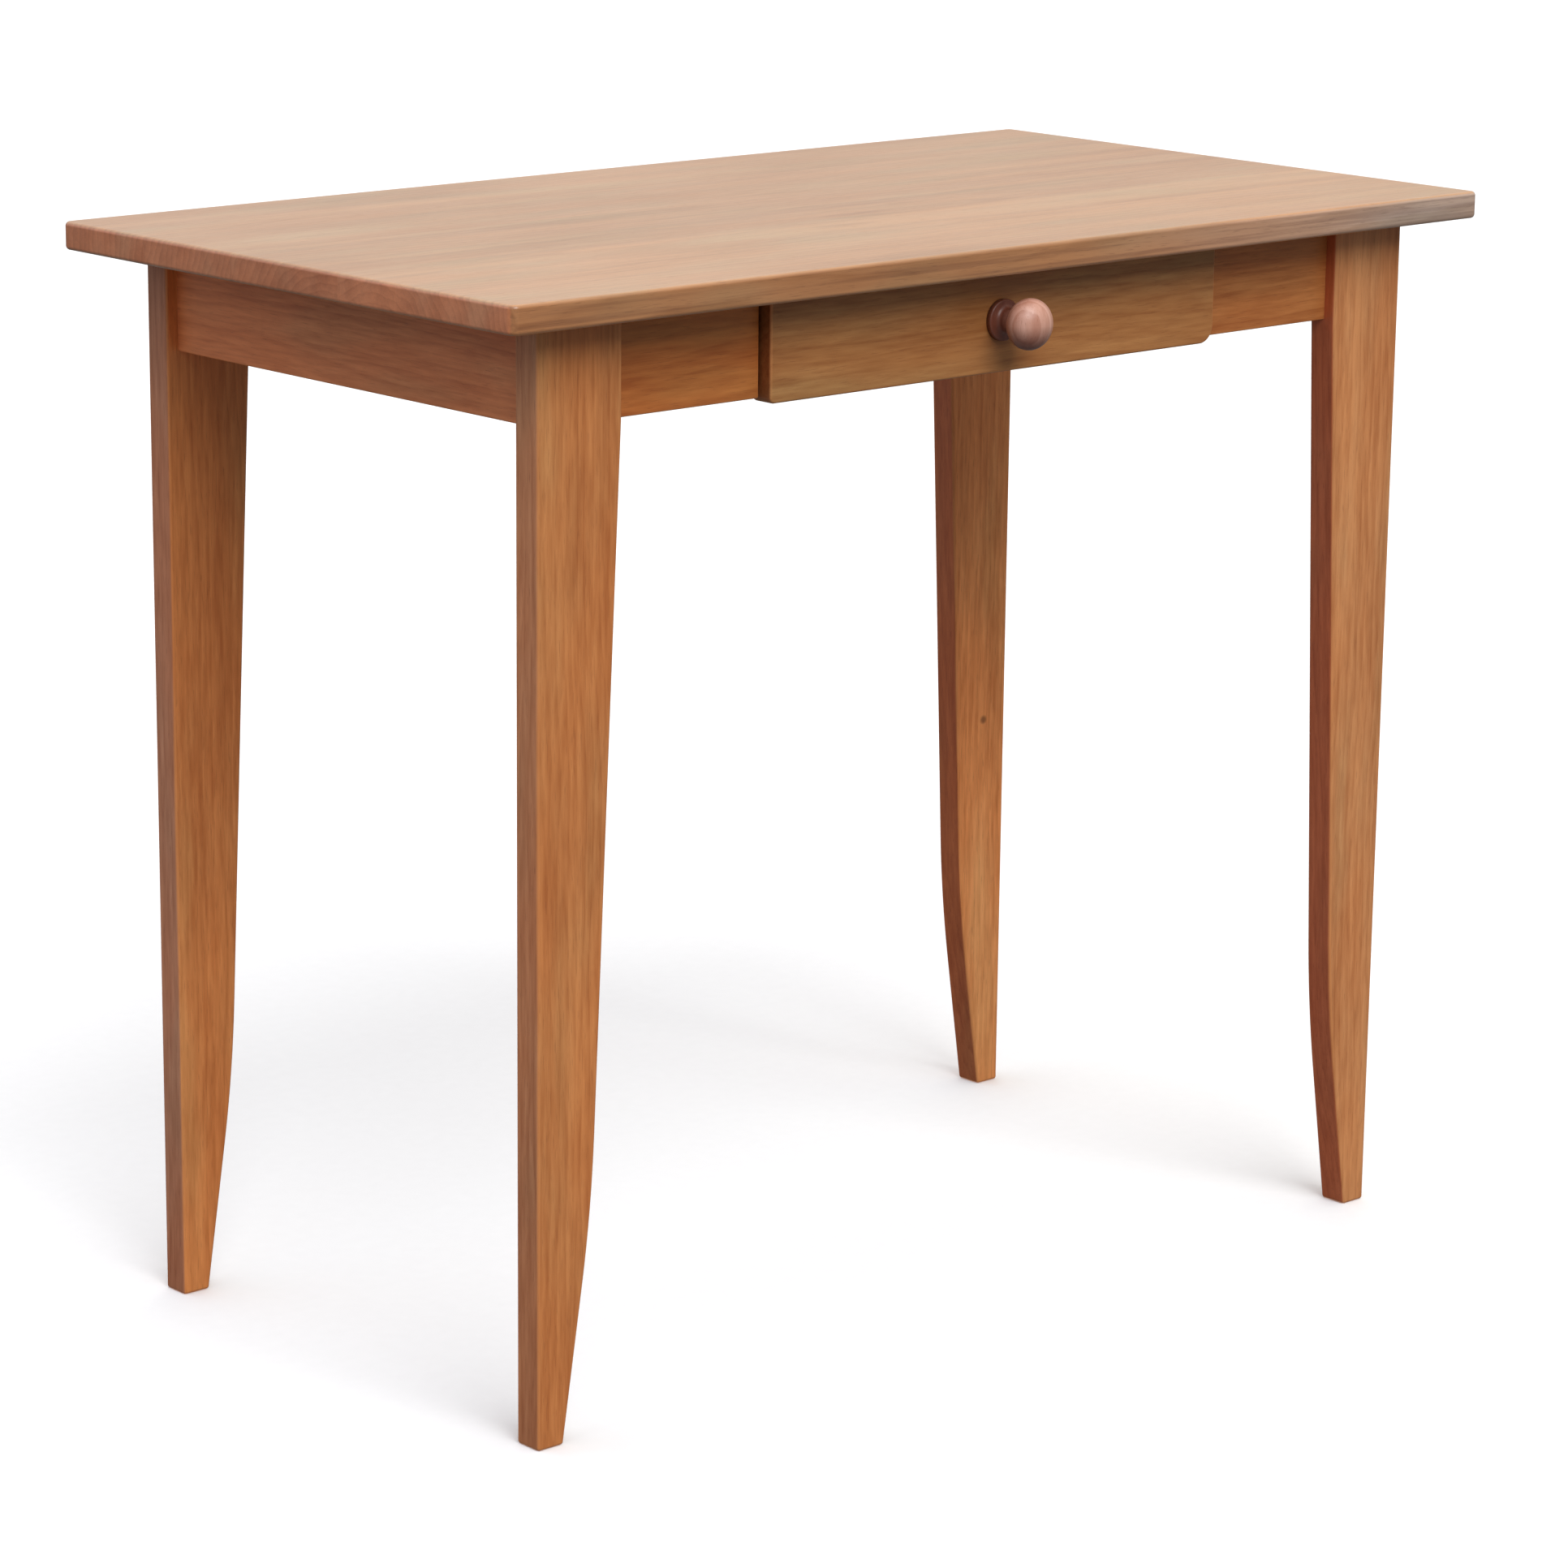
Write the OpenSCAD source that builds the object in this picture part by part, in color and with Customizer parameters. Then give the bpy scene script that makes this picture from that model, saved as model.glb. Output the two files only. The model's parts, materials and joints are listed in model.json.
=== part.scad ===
// Writing desk in solid wood: four flat tapered legs, aprons and rails, one centre drawer.
// The drawer slides out along -Y. Origin: bottom centre of the whole desk, +Z up, +X to the right.

/* [Table top] */
// Width of the table top, left to right
top_w = 880; // [840:10:1100]
// Depth of the table top, front to back
top_d = 476; // [450:2:560]
// Thickness of the table top
top_t = 19; // [16:1:24]
// Radius of the top's corners, seen from above
top_corner_r = 6; // [4:1:20]
// Height of the desk
desk_h = 750; // [700:10:780]
// How far the top stands past the legs at the left and right
overhang_x = 45; // [20:1:50]
// How far the top stands past the legs at the front and back
overhang_y = 32; // [20:1:45]

/* [Legs] */
// Width of a leg where it meets the apron
leg_top_w = 68; // [66:1:74]
// Width of a leg at the bend of its inner edge
leg_bend_w = 45; // [40:1:52]
// Width of a leg at the floor
leg_foot_w = 21; // [18:1:30]
// Height of the bend above the floor
leg_bend_z = 155; // [100:5:220]
// Thickness of a leg, front to back
leg_t = 22; // [21:0.5:24]

/* [Aprons and rails] */
// Height of the aprons and rails
apron_h = 67; // [66:1:76]
// Thickness of the front aprons and of the back rail
apron_t = 18; // [16:1:20]
// Thickness of the side rails
side_rail_t = 20; // [18:1:22]
// How far aprons and rails lie behind the outer faces of the legs
setback = 9; // [8:0.5:10]

/* [Drawer] */
// Width of the drawer front
drawer_w = 408; // [300:2:420]
// Thickness of the drawer front
drawer_front_t = 18; // [16:1:20]
// Radius of the drawer front's two lower corners
drawer_corner_r = 8; // [2:1:10]
// Space between the drawer's back end and the back rail
drawer_behind = 29; // [15:1:60]
// Thickness of the drawer sides and the drawer back
drawer_board_t = 12; // [11:1:13]
// Thickness of the drawer bottom
drawer_bottom_t = 4; // [3:1:5]
// Travel of the drawer from closed to open
drawer_travel = 250; // [150:5:255]
// How far the drawer is pulled out in this model
drawer_open = 0; // [0:5:250]
// Gap between the drawer front and the aprons beside it
drawer_gap = 2; // [1.5:0.5:3]

/* [Knob] */
// Diameter of the knob's head
knob_head_d = 34.5; // [28:0.5:38]
// Length of the knob's head along its axis
knob_head_l = 27; // [20:1:28]
// Distance from the drawer front to the end of the knob
knob_l = 40; // [36:1:46]
// Diameter of the knob's round base
knob_base_d = 28; // [24:1:32]

/* [Hidden] */
$fn = 48;

// How far a cutting body runs past the face that it opens
cut = 1;

// The knob stands past the front edge of the top, and the whole desk is centred on the origin
knob_past_top = max(0, knob_l - overhang_y);
mid_y = knob_past_top / 2;

// Outer faces of the legs, measured from the desk's middle
leg_x = top_w / 2 - overhang_x;
leg_y = top_d / 2 - overhang_y;

// Small bevel at the end of each foot, and the soft stretch on either side of a leg's bend
foot_cut = 2;
bend_blend = 50;
bend_steps = 8;

// Heights
under_top = desk_h - top_t;
apron_z = under_top - apron_h;

// Planes of the rails, measured from the desk's middle
apron_front_y = -leg_y + setback;
apron_back_y = apron_front_y + apron_t;
back_rail_y = leg_y - setback - apron_t;
side_rail_x = leg_x - setback;
side_rail_in = side_rail_x - side_rail_t;
leg_in = leg_x - leg_top_w;

// Tenons: aprons into the legs' inner edges, side rails into the legs' wide faces
tenon_shoulder = 8;
tenon_h = apron_h - 2 * tenon_shoulder;
tenon_z = apron_z + tenon_shoulder;
apron_tenon_t = 7;
apron_tenon_l = 20;
apron_tenon_in = 1.5;
side_tenon_t = 8;
side_tenon_l = 14;

// Flat rail behind the aprons, above the drawer
top_rail_t = 12;
top_rail_w = 40;
top_rail_z = under_top - top_rail_t;
rail_lap = 8;
kicker_y = apron_back_y + top_rail_w;

// Drawer opening and the boards beside it
open_x = drawer_w / 2 + drawer_gap;
guide_t = 12;
guide_housing = 6;
strip_w = 14;
runner_h = 10;
runner_top = apron_z + runner_h;

// Drawer box: its front hangs a little below the aprons and clears the top
pulled = min(drawer_open, drawer_travel);
front_hangs = 3;
front_clear = 2.5;
drawer_x = drawer_w / 2;
drawer_front_y = -leg_y;
drawer_front_back = drawer_front_y + drawer_front_t;
drawer_front_z = apron_z - front_hangs;
drawer_front_top = under_top - front_clear;
inner_x = drawer_x - drawer_board_t;

// The sides run between the runners and the kickers, with a little air at each
runner_clear = 0.4;
kicker_clear = 0.6;
side_under_rail = 3.6;
side_z = runner_top + runner_clear;
side_top = top_rail_z - side_under_rail;
kicker_z = side_top + kicker_clear;
side_lap = 8;
side_y = drawer_front_back - side_lap;
side_end = back_rail_y - drawer_behind;

// The bottom sits in grooves a little above the sides' lower edges
groove = 6;
bottom_up = 6;
bottom_z = side_z + bottom_up;
bottom_top = bottom_z + drawer_bottom_t;
back_y = side_end - groove - drawer_board_t;

// The knob sits a little above the middle of the drawer front
knob_up = 1.5;
knob_z = (drawer_front_z + drawer_front_top) / 2 + knob_up;

// Screws
screw_r = 1.75;
screw_head_r = 3.6;
screw_head_t = 2;
screw_in_top = 12;
screw_in_back = 14;
knob_screw_r = 2;
knob_screw_in = 16;

// Corner blocks
block_leg = 58;
block_h = 40;
block_z = apron_z + 10;
block_nose = 10;
block_screw_back = 18;
block_screw_in = 12;
block_screw_l = block_screw_back + block_screw_in;
block_screw_along = 22;
block_screw_off_rail = 12;
block_screw_apart = 8;

// Buttons that hold the top
button_w = 26;
button_l = 30;
button_t = 14;
button_tongue = 6;
button_z = under_top - button_t;
button_x = (open_x + guide_t + leg_in) / 2;
button_xs = [-button_x, button_x];
button_ys = [-90, 90];
button_numbers = [0:5];

module box(x0, x1, y0, y1, z0, z1) {
    translate([x0, y0, z0]) cube([x1 - x0, y1 - y0, z1 - z0]);
}

// Puts the desk's own middle on the origin's side of the knob
module placed() {
    translate([0, mid_y, 0]) children();
}

// Puts a drawer piece where the drawer stands
module in_drawer() {
    translate([0, mid_y - pulled, 0]) children();
}

// Wood screw along +Z, its head's underside at z = 0
module screw(l) {
    translate([0, 0, -screw_head_t]) cylinder(r = screw_head_r, h = screw_head_t);
    cylinder(r = screw_r, h = l);
}

// Hole for a screw's shank, which starts a little before z = 0
module screw_bore(l) {
    translate([0, 0, -cut]) cylinder(r = screw_r, h = l + cut);
}

// ---- Table top ----
module top_button_at(i) {
    // 0 to 3 stand at the side rails, 4 and 5 at the back rail
    side = i % 2 == 0 ? -1 : 1;
    if (i < 4) {
        translate([side * side_rail_in, button_ys[floor(i / 2)], 0])
            rotate([0, 0, side < 0 ? 0 : 180]) children();
    } else {
        translate([button_xs[i - 4], back_rail_y, 0]) rotate([0, 0, -90]) children();
    }
}

top_rail_screw_xs = [-button_x, 0, button_x];
module top_rail_screw_at() {
    for (x = top_rail_screw_xs)
        translate([x, apron_back_y + top_rail_w / 2, top_rail_z]) children();
}

module table_top() {
    color("burlywood") placed() difference() {
        union() {
            box(-top_w / 2 + top_corner_r, top_w / 2 - top_corner_r, -top_d / 2, top_d / 2,
                under_top, desk_h);
            box(-top_w / 2, top_w / 2, -top_d / 2 + top_corner_r, top_d / 2 - top_corner_r,
                under_top, desk_h);
            for (x = [-1, 1], y = [-1, 1])
                translate([x * (top_w / 2 - top_corner_r), y * (top_d / 2 - top_corner_r),
                    under_top]) cylinder(r = top_corner_r, h = top_t);
        }
        for (i = button_numbers) top_button_at(i)
            translate([button_l / 2, 0, button_z]) screw_bore(button_t + screw_in_top);
        top_rail_screw_at() screw_bore(top_rail_t + screw_in_top);
    }
}

// ---- Legs ----
// Outline of the front right leg in X and Z: upright outer edge, inner edge with one soft bend
taper_top = [leg_in, apron_z];
taper_bend = [leg_x - leg_bend_w, leg_bend_z];
taper_foot = [leg_x - leg_foot_w, foot_cut];
function towards(a, b, l) = a + (b - a) * l / norm(b - a);
bend_start = towards(taper_bend, taper_top, bend_blend);
bend_end = towards(taper_bend, taper_foot, bend_blend);
function bend_point(t) = (1 - t) * (1 - t) * bend_start + 2 * t * (1 - t) * taper_bend
    + t * t * bend_end;
module leg_outline() {
    polygon(concat([[leg_x - foot_cut, 0], [leg_x, foot_cut], [leg_x, under_top],
        [leg_in, under_top], taper_top], [for (i = [0:bend_steps]) bend_point(i / bend_steps)],
        [taper_foot, taper_foot + [foot_cut, -foot_cut]]));
}

// side_x is -1 at the left and 1 at the right, side_y is -1 at the front and 1 at the back
module leg(side_x, side_y) {
    color("peru") placed() corner(side_x, side_y) difference() {
        translate([0, -leg_y + leg_t, 0]) rotate([90, 0, 0])
            linear_extrude(height = leg_t) leg_outline();
        box(leg_in - cut, leg_in + apron_tenon_l, apron_front_y + apron_tenon_in,
            apron_front_y + apron_tenon_in + apron_tenon_t, tenon_z, tenon_z + tenon_h);
        box(side_tenon_x(), side_tenon_x() + side_tenon_t, -leg_y + leg_t - side_tenon_l,
            -leg_y + leg_t + cut, tenon_z, tenon_z + tenon_h);
        block_screw_at_leg() screw_bore(block_screw_l);
    }
}
function side_tenon_x() = side_rail_in + (side_rail_t - side_tenon_t) / 2;

// Turns a piece drawn at the front right into one of the four corners
module corner(side_x, side_y) {
    mirror([side_x < 0 ? 1 : 0, 0, 0]) mirror([0, side_y > 0 ? 1 : 0, 0]) children();
}

module leg_front_left() { leg(-1, -1); }
module leg_front_right() { leg(1, -1); }
module leg_back_left() { leg(-1, 1); }
module leg_back_right() { leg(1, 1); }

// ---- Side rails ----
module side_rail(side_x) {
    color("saddlebrown") placed() corner(side_x, -1) difference() {
        union() {
            box(side_rail_in, side_rail_x, -leg_y + leg_t, leg_y - leg_t, apron_z, under_top);
            box(side_tenon_x(), side_tenon_x() + side_tenon_t, -leg_y + leg_t - side_tenon_l,
                leg_y - leg_t + side_tenon_l, tenon_z, tenon_z + tenon_h);
        }
        // Lap for the front top rail, and the slots that the buttons' tongues sit in
        box(side_rail_in - cut, side_rail_in + rail_lap, apron_back_y,
            apron_back_y + top_rail_w, top_rail_z, under_top + cut);
        for (y = button_ys)
            box(side_rail_in - cut, side_rail_in + button_tongue, y - button_w / 2,
                y + button_w / 2, button_z, button_z + button_tongue);
        for (y = [0, 1]) mirror([0, y, 0])
            block_screw_at_rail() screw_bore(block_screw_l);
    }
}
module side_rail_left() { side_rail(-1); }
module side_rail_right() { side_rail(1); }

// ---- Back rail and front aprons ----
module back_rail() {
    color("saddlebrown") placed() difference() {
        union() {
            box(-leg_in, leg_in, back_rail_y, back_rail_y + apron_t, apron_z, under_top);
            box(-leg_in - apron_tenon_l, leg_in + apron_tenon_l,
                -apron_front_y - apron_tenon_in - apron_tenon_t,
                -apron_front_y - apron_tenon_in, tenon_z, tenon_z + tenon_h);
        }
        for (x = button_xs)
            box(x - button_w / 2, x + button_w / 2, back_rail_y - cut,
                back_rail_y + button_tongue, button_z, button_z + button_tongue);
        for (x = [-open_x - guide_t, open_x])
            box(x, x + guide_t, back_rail_y - cut, back_rail_y + guide_housing, apron_z - cut,
                under_top + cut);
    }
}

module front_apron(side_x) {
    color("sienna") placed() corner(side_x, -1) difference() {
        union() {
            box(open_x, leg_in, apron_front_y, apron_back_y, apron_z, under_top);
            box(leg_in - cut, leg_in + apron_tenon_l, apron_front_y + apron_tenon_in,
                apron_front_y + apron_tenon_in + apron_tenon_t, tenon_z, tenon_z + tenon_h);
        }
        box(open_x - cut, open_x + guide_t, apron_back_y - guide_housing, apron_back_y + cut,
            apron_z - cut, top_rail_z);
    }
}
module front_apron_left() { front_apron(-1); }
module front_apron_right() { front_apron(1); }

module front_top_rail() {
    color("saddlebrown") placed() difference() {
        box(-side_rail_in - rail_lap, side_rail_in + rail_lap, apron_back_y,
            apron_back_y + top_rail_w, top_rail_z, under_top);
        top_rail_screw_at() screw_bore(top_rail_t + cut);
    }
}

// ---- Boards and strips beside the drawer ----
module drawer_guide(side_x) {
    color("tan") placed() corner(side_x, -1) difference() {
        box(open_x, open_x + guide_t, apron_back_y - guide_housing, back_rail_y + guide_housing,
            apron_z, under_top);
        box(open_x - cut, open_x + guide_t + cut, apron_back_y - guide_housing - cut,
            kicker_y, top_rail_z, under_top + cut);
        runner_screw_at() screw_bore(screw_head_t + runner_screw_l);
    }
}
module drawer_guide_left() { drawer_guide(-1); }
module drawer_guide_right() { drawer_guide(1); }

runner_screw_ys = [-130, 0, 130];
runner_screw_short = 4;
runner_screw_l = strip_w + guide_t - runner_screw_short;
module runner_screw_at() {
    for (y = runner_screw_ys, z = [runner_top - runner_h / 2, kicker_z + strip_w / 2])
        translate([open_x - strip_w, y, z]) rotate([0, 90, 0]) children();
}

// Strip that the drawer side slides on (runner) or that lies over it (kicker)
module drawer_strip(side_x, y0, z0, z1) {
    color("tan") placed() corner(side_x, -1) difference() {
        box(open_x - strip_w, open_x, y0, back_rail_y, z0, z1);
        runner_screw_at() union() {
            screw_bore(strip_w + cut);
            translate([0, 0, -cut]) cylinder(r = screw_head_r, h = screw_head_t + cut);
        }
    }
}
module drawer_runner_left() { drawer_strip(-1, apron_back_y, apron_z, runner_top); }
module drawer_runner_right() { drawer_strip(1, apron_back_y, apron_z, runner_top); }
module drawer_kicker_left() { drawer_strip(-1, kicker_y, kicker_z, kicker_z + strip_w); }
module drawer_kicker_right() { drawer_strip(1, kicker_y, kicker_z, kicker_z + strip_w); }

module runner_screws() {
    color("silver") placed() for (side_x = [-1, 1]) corner(side_x, -1)
        runner_screw_at() translate([0, 0, screw_head_t]) screw(runner_screw_l);
}

// Blocks behind the drawer that stop it when it is closed
stop_gap = 0.5;
module drawer_stops() {
    color("tan") placed() for (side_x = [-1, 1]) corner(side_x, -1)
        box(open_x - strip_w, open_x, side_end + stop_gap, back_rail_y, runner_top, kicker_z);
}

// ---- Corner blocks ----
// Drawn at the front right corner, against the side rail, the leg and the end of the apron
module corner_block() {
    translate([0, 0, block_z]) linear_extrude(height = block_h)
        polygon([[side_rail_in, -leg_y + leg_t], [side_rail_in, apron_back_y + block_leg],
            [side_rail_in - block_nose, apron_back_y + block_leg],
            [side_rail_in - block_leg, apron_back_y + block_nose],
            [side_rail_in - block_leg, apron_back_y], [leg_in, apron_back_y],
            [leg_in, -leg_y + leg_t]]);
}

// One screw runs into the side rail and one, lower down, into the leg
module block_screw_at_rail() {
    translate([side_rail_in - block_screw_back, apron_back_y + block_screw_along,
        block_z + block_h / 2 + block_screw_apart]) rotate([0, 90, 0]) children();
}
module block_screw_at_leg() {
    translate([side_rail_in - block_screw_off_rail, -leg_y + leg_t + block_screw_back,
        block_z + block_h / 2 - block_screw_apart]) rotate([90, 0, 0]) children();
}

// Deep round recess that lets the screw's head sit inside the block
module block_screw_recess() {
    translate([0, 0, -block_leg]) cylinder(r = screw_head_r, h = block_leg);
}

module corner_blocks() {
    color("tan") placed() for (x = [-1, 1], y = [-1, 1]) corner(x, y) difference() {
        corner_block();
        block_screw_at_rail() screw_bore(block_screw_l);
        block_screw_at_leg() screw_bore(block_screw_l);
        block_screw_at_rail() block_screw_recess();
        block_screw_at_leg() block_screw_recess();
    }
}

module corner_block_screws() {
    color("silver") placed() for (x = [-1, 1], y = [-1, 1]) corner(x, y) {
        block_screw_at_rail() screw(block_screw_l);
        block_screw_at_leg() screw(block_screw_l);
    }
}

// ---- Buttons under the top ----
// One button lies along +X from the face of its rail, its tongue in the rail's slot
module button() {
    difference() {
        union() {
            box(0, button_l, -button_w / 2, button_w / 2, button_z, under_top);
            box(-button_tongue, cut, -button_w / 2, button_w / 2, button_z,
                button_z + button_tongue);
        }
        translate([button_l / 2, 0, button_z]) screw_bore(button_t + cut);
    }
}
module top_buttons() {
    color("tan") placed() for (i = button_numbers) top_button_at(i) button();
}
module top_button_screws() {
    color("silver") placed() for (i = button_numbers) top_button_at(i)
        translate([button_l / 2, 0, button_z]) screw(button_t + screw_in_top);
}
module top_rail_screws() {
    color("silver") placed() top_rail_screw_at() screw(top_rail_t + screw_in_top);
}

// ---- Drawer ----
module drawer_front() {
    color("peru") in_drawer() difference() {
        union() {
            box(-drawer_x, drawer_x, drawer_front_y, drawer_front_back,
                drawer_front_z + drawer_corner_r, drawer_front_top);
            box(-drawer_x + drawer_corner_r, drawer_x - drawer_corner_r, drawer_front_y,
                drawer_front_back, drawer_front_z, drawer_front_top);
            for (x = [-1, 1])
                translate([x * (drawer_x - drawer_corner_r), drawer_front_back,
                    drawer_front_z + drawer_corner_r]) rotate([90, 0, 0])
                    cylinder(r = drawer_corner_r, h = drawer_front_t);
        }
        for (x = [-1, 1]) corner(x, -1)
            box(inner_x, drawer_x + cut, side_y, drawer_front_back + cut, side_z, side_top);
        box(-inner_x - cut, inner_x + cut, drawer_front_back - groove, drawer_front_back + cut,
            bottom_z, bottom_top);
        translate([0, drawer_front_y, knob_z]) rotate([-90, 0, 0])
            translate([0, 0, -cut]) cylinder(r = knob_screw_r, h = drawer_front_t + 2 * cut);
    }
}

module drawer_side(side_x) {
    color("wheat") in_drawer() corner(side_x, -1) difference() {
        box(inner_x, drawer_x, side_y, side_end, side_z, side_top);
        box(inner_x - cut, inner_x + groove, drawer_front_back - groove,
            back_y + drawer_board_t, bottom_z, bottom_top);
        box(inner_x - cut, inner_x + groove, back_y, back_y + drawer_board_t,
            bottom_top - cut, side_top + cut);
    }
}
module drawer_side_left() { drawer_side(-1); }
module drawer_side_right() { drawer_side(1); }

back_screw_xs = [-120, 0, 120];
module back_screw_at() {
    for (x = back_screw_xs)
        translate([x, back_y + drawer_board_t / 2, bottom_z]) children();
}

module drawer_back() {
    color("wheat") in_drawer() difference() {
        box(-inner_x - groove, inner_x + groove, back_y, back_y + drawer_board_t, bottom_top,
            side_top);
        back_screw_at() screw_bore(drawer_bottom_t + screw_in_back);
    }
}

module drawer_bottom() {
    color("moccasin") in_drawer() difference() {
        box(-inner_x - groove, inner_x + groove, drawer_front_back - groove,
            back_y + drawer_board_t, bottom_z, bottom_top);
        back_screw_at() screw_bore(drawer_bottom_t + cut);
    }
}

module drawer_back_screws() {
    color("silver") in_drawer() back_screw_at() screw(drawer_bottom_t + screw_in_back);
}

// Turned knob along +Z from the drawer's face: round base, narrow neck, flattened ball head
knob_base_t = 4;
knob_neck_r = 7.5;
knob_base_cut = 1;
knob_neck_cut = 2;
knob_head_steps = 16;
knob_head_z = knob_l - knob_head_l / 2;
function head_point(a) = [knob_head_d / 2 * cos(a), knob_head_z + knob_head_l / 2 * sin(a)];
neck_meet = -acos(2 * knob_neck_r / knob_head_d);
module knob_profile() {
    polygon(concat([[0, 0], [knob_base_d / 2, 0], [knob_base_d / 2, knob_base_t - knob_base_cut],
        [knob_base_d / 2 - knob_base_cut, knob_base_t], [knob_neck_r + knob_neck_cut, knob_base_t],
        [knob_neck_r, knob_base_t + knob_neck_cut]],
        [for (i = [0:knob_head_steps])
            head_point(neck_meet + (90 - neck_meet) * i / knob_head_steps)]));
}
module drawer_knob() {
    color("peru") in_drawer() translate([0, drawer_front_y, knob_z]) rotate([90, 0, 0])
        difference() {
            rotate_extrude() knob_profile();
            translate([0, 0, -cut]) cylinder(r = knob_screw_r, h = knob_screw_in + cut);
        }
}

knob_screw_head_r = 4;
knob_screw_head_t = 2.5;
module knob_screw() {
    color("silver") in_drawer() translate([0, drawer_front_back, knob_z]) rotate([90, 0, 0]) {
        translate([0, 0, -knob_screw_head_t])
            cylinder(r = knob_screw_head_r, h = knob_screw_head_t);
        cylinder(r = knob_screw_r, h = drawer_front_t + knob_screw_in);
    }
}

table_top();
leg_front_left();
leg_front_right();
leg_back_left();
leg_back_right();
side_rail_left();
side_rail_right();
back_rail();
front_apron_left();
front_apron_right();
front_top_rail();
drawer_guide_left();
drawer_guide_right();
drawer_runner_left();
drawer_runner_right();
drawer_kicker_left();
drawer_kicker_right();
drawer_stops();
corner_blocks();
corner_block_screws();
top_buttons();
top_button_screws();
top_rail_screws();
runner_screws();
drawer_front();
drawer_side_left();
drawer_side_right();
drawer_back();
drawer_bottom();
drawer_back_screws();
drawer_knob();
knob_screw();
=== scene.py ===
"""Looks of a wooden writing desk with one drawer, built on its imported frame. Metres, Z up."""

import json
import math
from collections import namedtuple

import bmesh
import bpy
from mathutils import Euler, Matrix, Vector


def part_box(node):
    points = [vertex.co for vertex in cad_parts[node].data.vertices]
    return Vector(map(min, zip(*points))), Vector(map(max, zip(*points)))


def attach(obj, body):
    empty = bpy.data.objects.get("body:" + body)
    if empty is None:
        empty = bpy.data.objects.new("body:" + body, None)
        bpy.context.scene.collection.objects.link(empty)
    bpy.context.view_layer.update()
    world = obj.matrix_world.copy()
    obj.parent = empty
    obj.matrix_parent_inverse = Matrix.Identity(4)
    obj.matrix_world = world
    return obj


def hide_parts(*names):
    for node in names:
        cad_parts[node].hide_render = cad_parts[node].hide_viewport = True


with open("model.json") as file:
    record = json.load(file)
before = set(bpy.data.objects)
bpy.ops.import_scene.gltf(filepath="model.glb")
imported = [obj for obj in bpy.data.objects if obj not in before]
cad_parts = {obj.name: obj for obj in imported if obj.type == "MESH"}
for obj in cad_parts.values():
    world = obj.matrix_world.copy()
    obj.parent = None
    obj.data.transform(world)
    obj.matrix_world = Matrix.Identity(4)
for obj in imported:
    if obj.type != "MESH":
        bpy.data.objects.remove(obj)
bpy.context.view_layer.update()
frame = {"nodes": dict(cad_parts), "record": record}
record = frame["record"]
NODES = [part["node"] for part in record["subparts"]]
SLOTS = {part["node"]: part["material_slot"] for part in record["subparts"]}
BODIES = {node: body for body, nodes in record["behaviour"]["bodies"].items() for node in nodes}
MM = 0.001

# ---- Driving values ----

# Camera: place, turn to the right, down and over in degrees, lens and sensor in millimetres, reach
CAMERA_PLACE = Vector((-2.3338, -2.5809, 1.2075))
CAMERA_YAW = 42.04
CAMERA_PITCH = 13.98
CAMERA_ROLL = 0.62
CAMERA_LENS = 116.65
CAMERA_SENSOR = 36.0
CAMERA_REACH = 200.0

# Rounding of the wood's arrises, the steps in it, and the angle in degrees from which an edge is
# rounded. A face that is narrower than ARRIS_SHARE of the rounding belongs to an arris
TOP_ROUND = 2.8 * MM
LEG_ROUND = 2.0 * MM
RAIL_ROUND = 1.2 * MM
FRONT_ROUND = 1.8 * MM
DRAWER_ROUND = 1.2 * MM
STRIP_ROUND = 0.8 * MM
ARC_STEPS = 4
ROUND_FROM = 25.0
ARRIS_SHARE = 0.7

# How far a board's end goes on inside the piece that it meets
END_IN = 1.5 * MM

# Plan corners of the top, lower corners of the drawer front, and the steps in each
TOP_CORNER = 6 * MM
FRONT_CORNER_LEFT = 4 * MM
FRONT_CORNER_RIGHT = 12 * MM
CORNER_STEPS = 8

# Leg outline: where the taper starts below the top, the bend above the floor, the soft stretch there
LEG_TAPER_BELOW = 67 * MM
LEG_BEND_UP = 155 * MM
LEG_BEND_WIDTH = 45 * MM
LEG_FOOT_WIDTH = 21 * MM
LEG_BLEND = 50 * MM
LEG_BEND_STEPS = 8

# Knob: its base and the lip round it, the neck, the cove between them, half the length of the head,
# the steps in the head's outline and in a full turn
KNOB_BASE_RADIUS = 14 * MM
KNOB_BASE_THICK = 4 * MM
KNOB_LIP = 1.2 * MM
KNOB_NECK = 7.5 * MM
KNOB_COVE_OUT = 4 * MM
KNOB_COVE_UP = 3 * MM
KNOB_HEAD_HALF = 13.5 * MM
KNOB_HEAD_STEPS = 24
LATHE_STEPS = 64

# Painted shade on the knob: darker at the base and neck, where the head shades them, and on the
# underside. How far out it lies full, how far it takes to fade, and how strong it is on the underside
KNOB_SHADE_DEEP = 9 * MM
KNOB_SHADE_FADE = 8 * MM
KNOB_SHADE_UNDER = 1.1

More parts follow.
